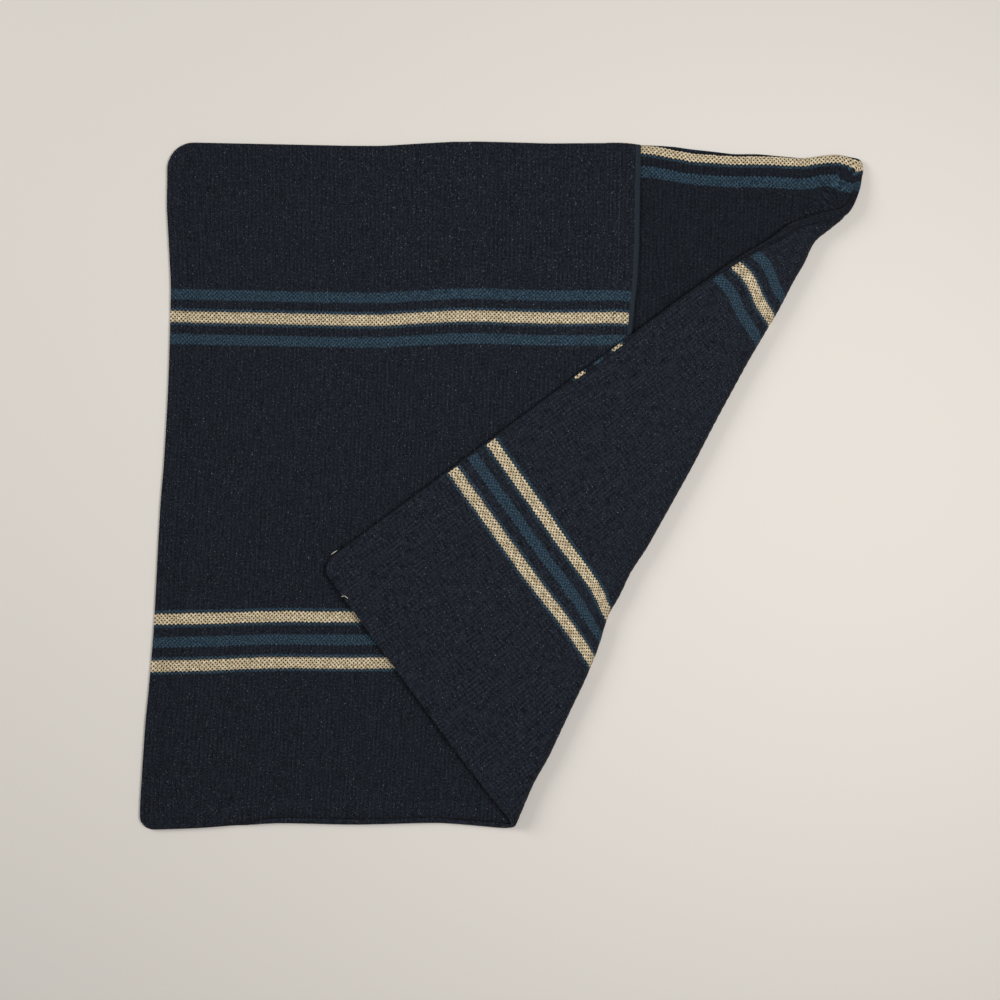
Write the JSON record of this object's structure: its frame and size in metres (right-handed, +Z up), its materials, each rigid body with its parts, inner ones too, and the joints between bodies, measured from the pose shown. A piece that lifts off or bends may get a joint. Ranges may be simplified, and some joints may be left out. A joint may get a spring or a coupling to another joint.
{
  "type": "cushion cover",
  "caption": "Square envelope-back cushion cover in navy woven cotton with cream and teal stripes, lying flat, face down, with a corner folded diagonally over its back.",
  "frame": {"origin": "the middle of the cover's bounding box, on the surface that it lies on", "axes": "+Z up through the cloth, away from the surface; +Y towards the top seam; +X towards the corner fold"},
  "size_m": [0.4714, 0.4448, 0.0121],
  "materials": {
    "striped_cloth": "matt woven cotton, navy with cream and teal stripes",
    "navy_thread": "matt sewing thread",
    "overlock_thread": "matt overlock thread"
  },
  "bodies": {
    "cover": {"front_panel": "striped_cloth", "front_panel_fold": "striped_cloth", "right_back_panel": "striped_cloth", "right_back_panel_fold": "striped_cloth", "left_back_panel": "striped_cloth", "left_back_panel_fold": "striped_cloth", "top_seam_allowance": "striped_cloth", "left_seam_allowance": "striped_cloth", "bottom_seam_allowance": "striped_cloth", "right_seam_allowance": "striped_cloth", "top_overlock_thread": "overlock_thread", "left_overlock_thread": "overlock_thread", "bottom_overlock_thread": "overlock_thread", "right_overlock_thread": "overlock_thread", "left_hem_stitching": "navy_thread", "right_hem_stitching": "navy_thread"},
    "folded_corner": {"front_panel_corner": "striped_cloth", "right_back_panel_corner": "striped_cloth", "left_back_panel_corner": "striped_cloth", "bottom_seam_allowance_corner": "striped_cloth", "right_seam_allowance_corner": "striped_cloth", "bottom_overlock_thread_corner": "overlock_thread", "right_overlock_thread_corner": "overlock_thread", "left_hem_stitching_corner": "navy_thread"}
  },
  "joints": [
    {"name": "corner_fold", "type": "hinge", "parent": "cover", "child": "folded_corner", "pos_m": [-0.00312, -0.22238, 0.00605], "axis": [0.486, 0.8739, 0], "range_deg": [0, 180], "deforming": ["front_panel_fold", "right_back_panel_fold", "left_back_panel_fold"]}
  ]
}
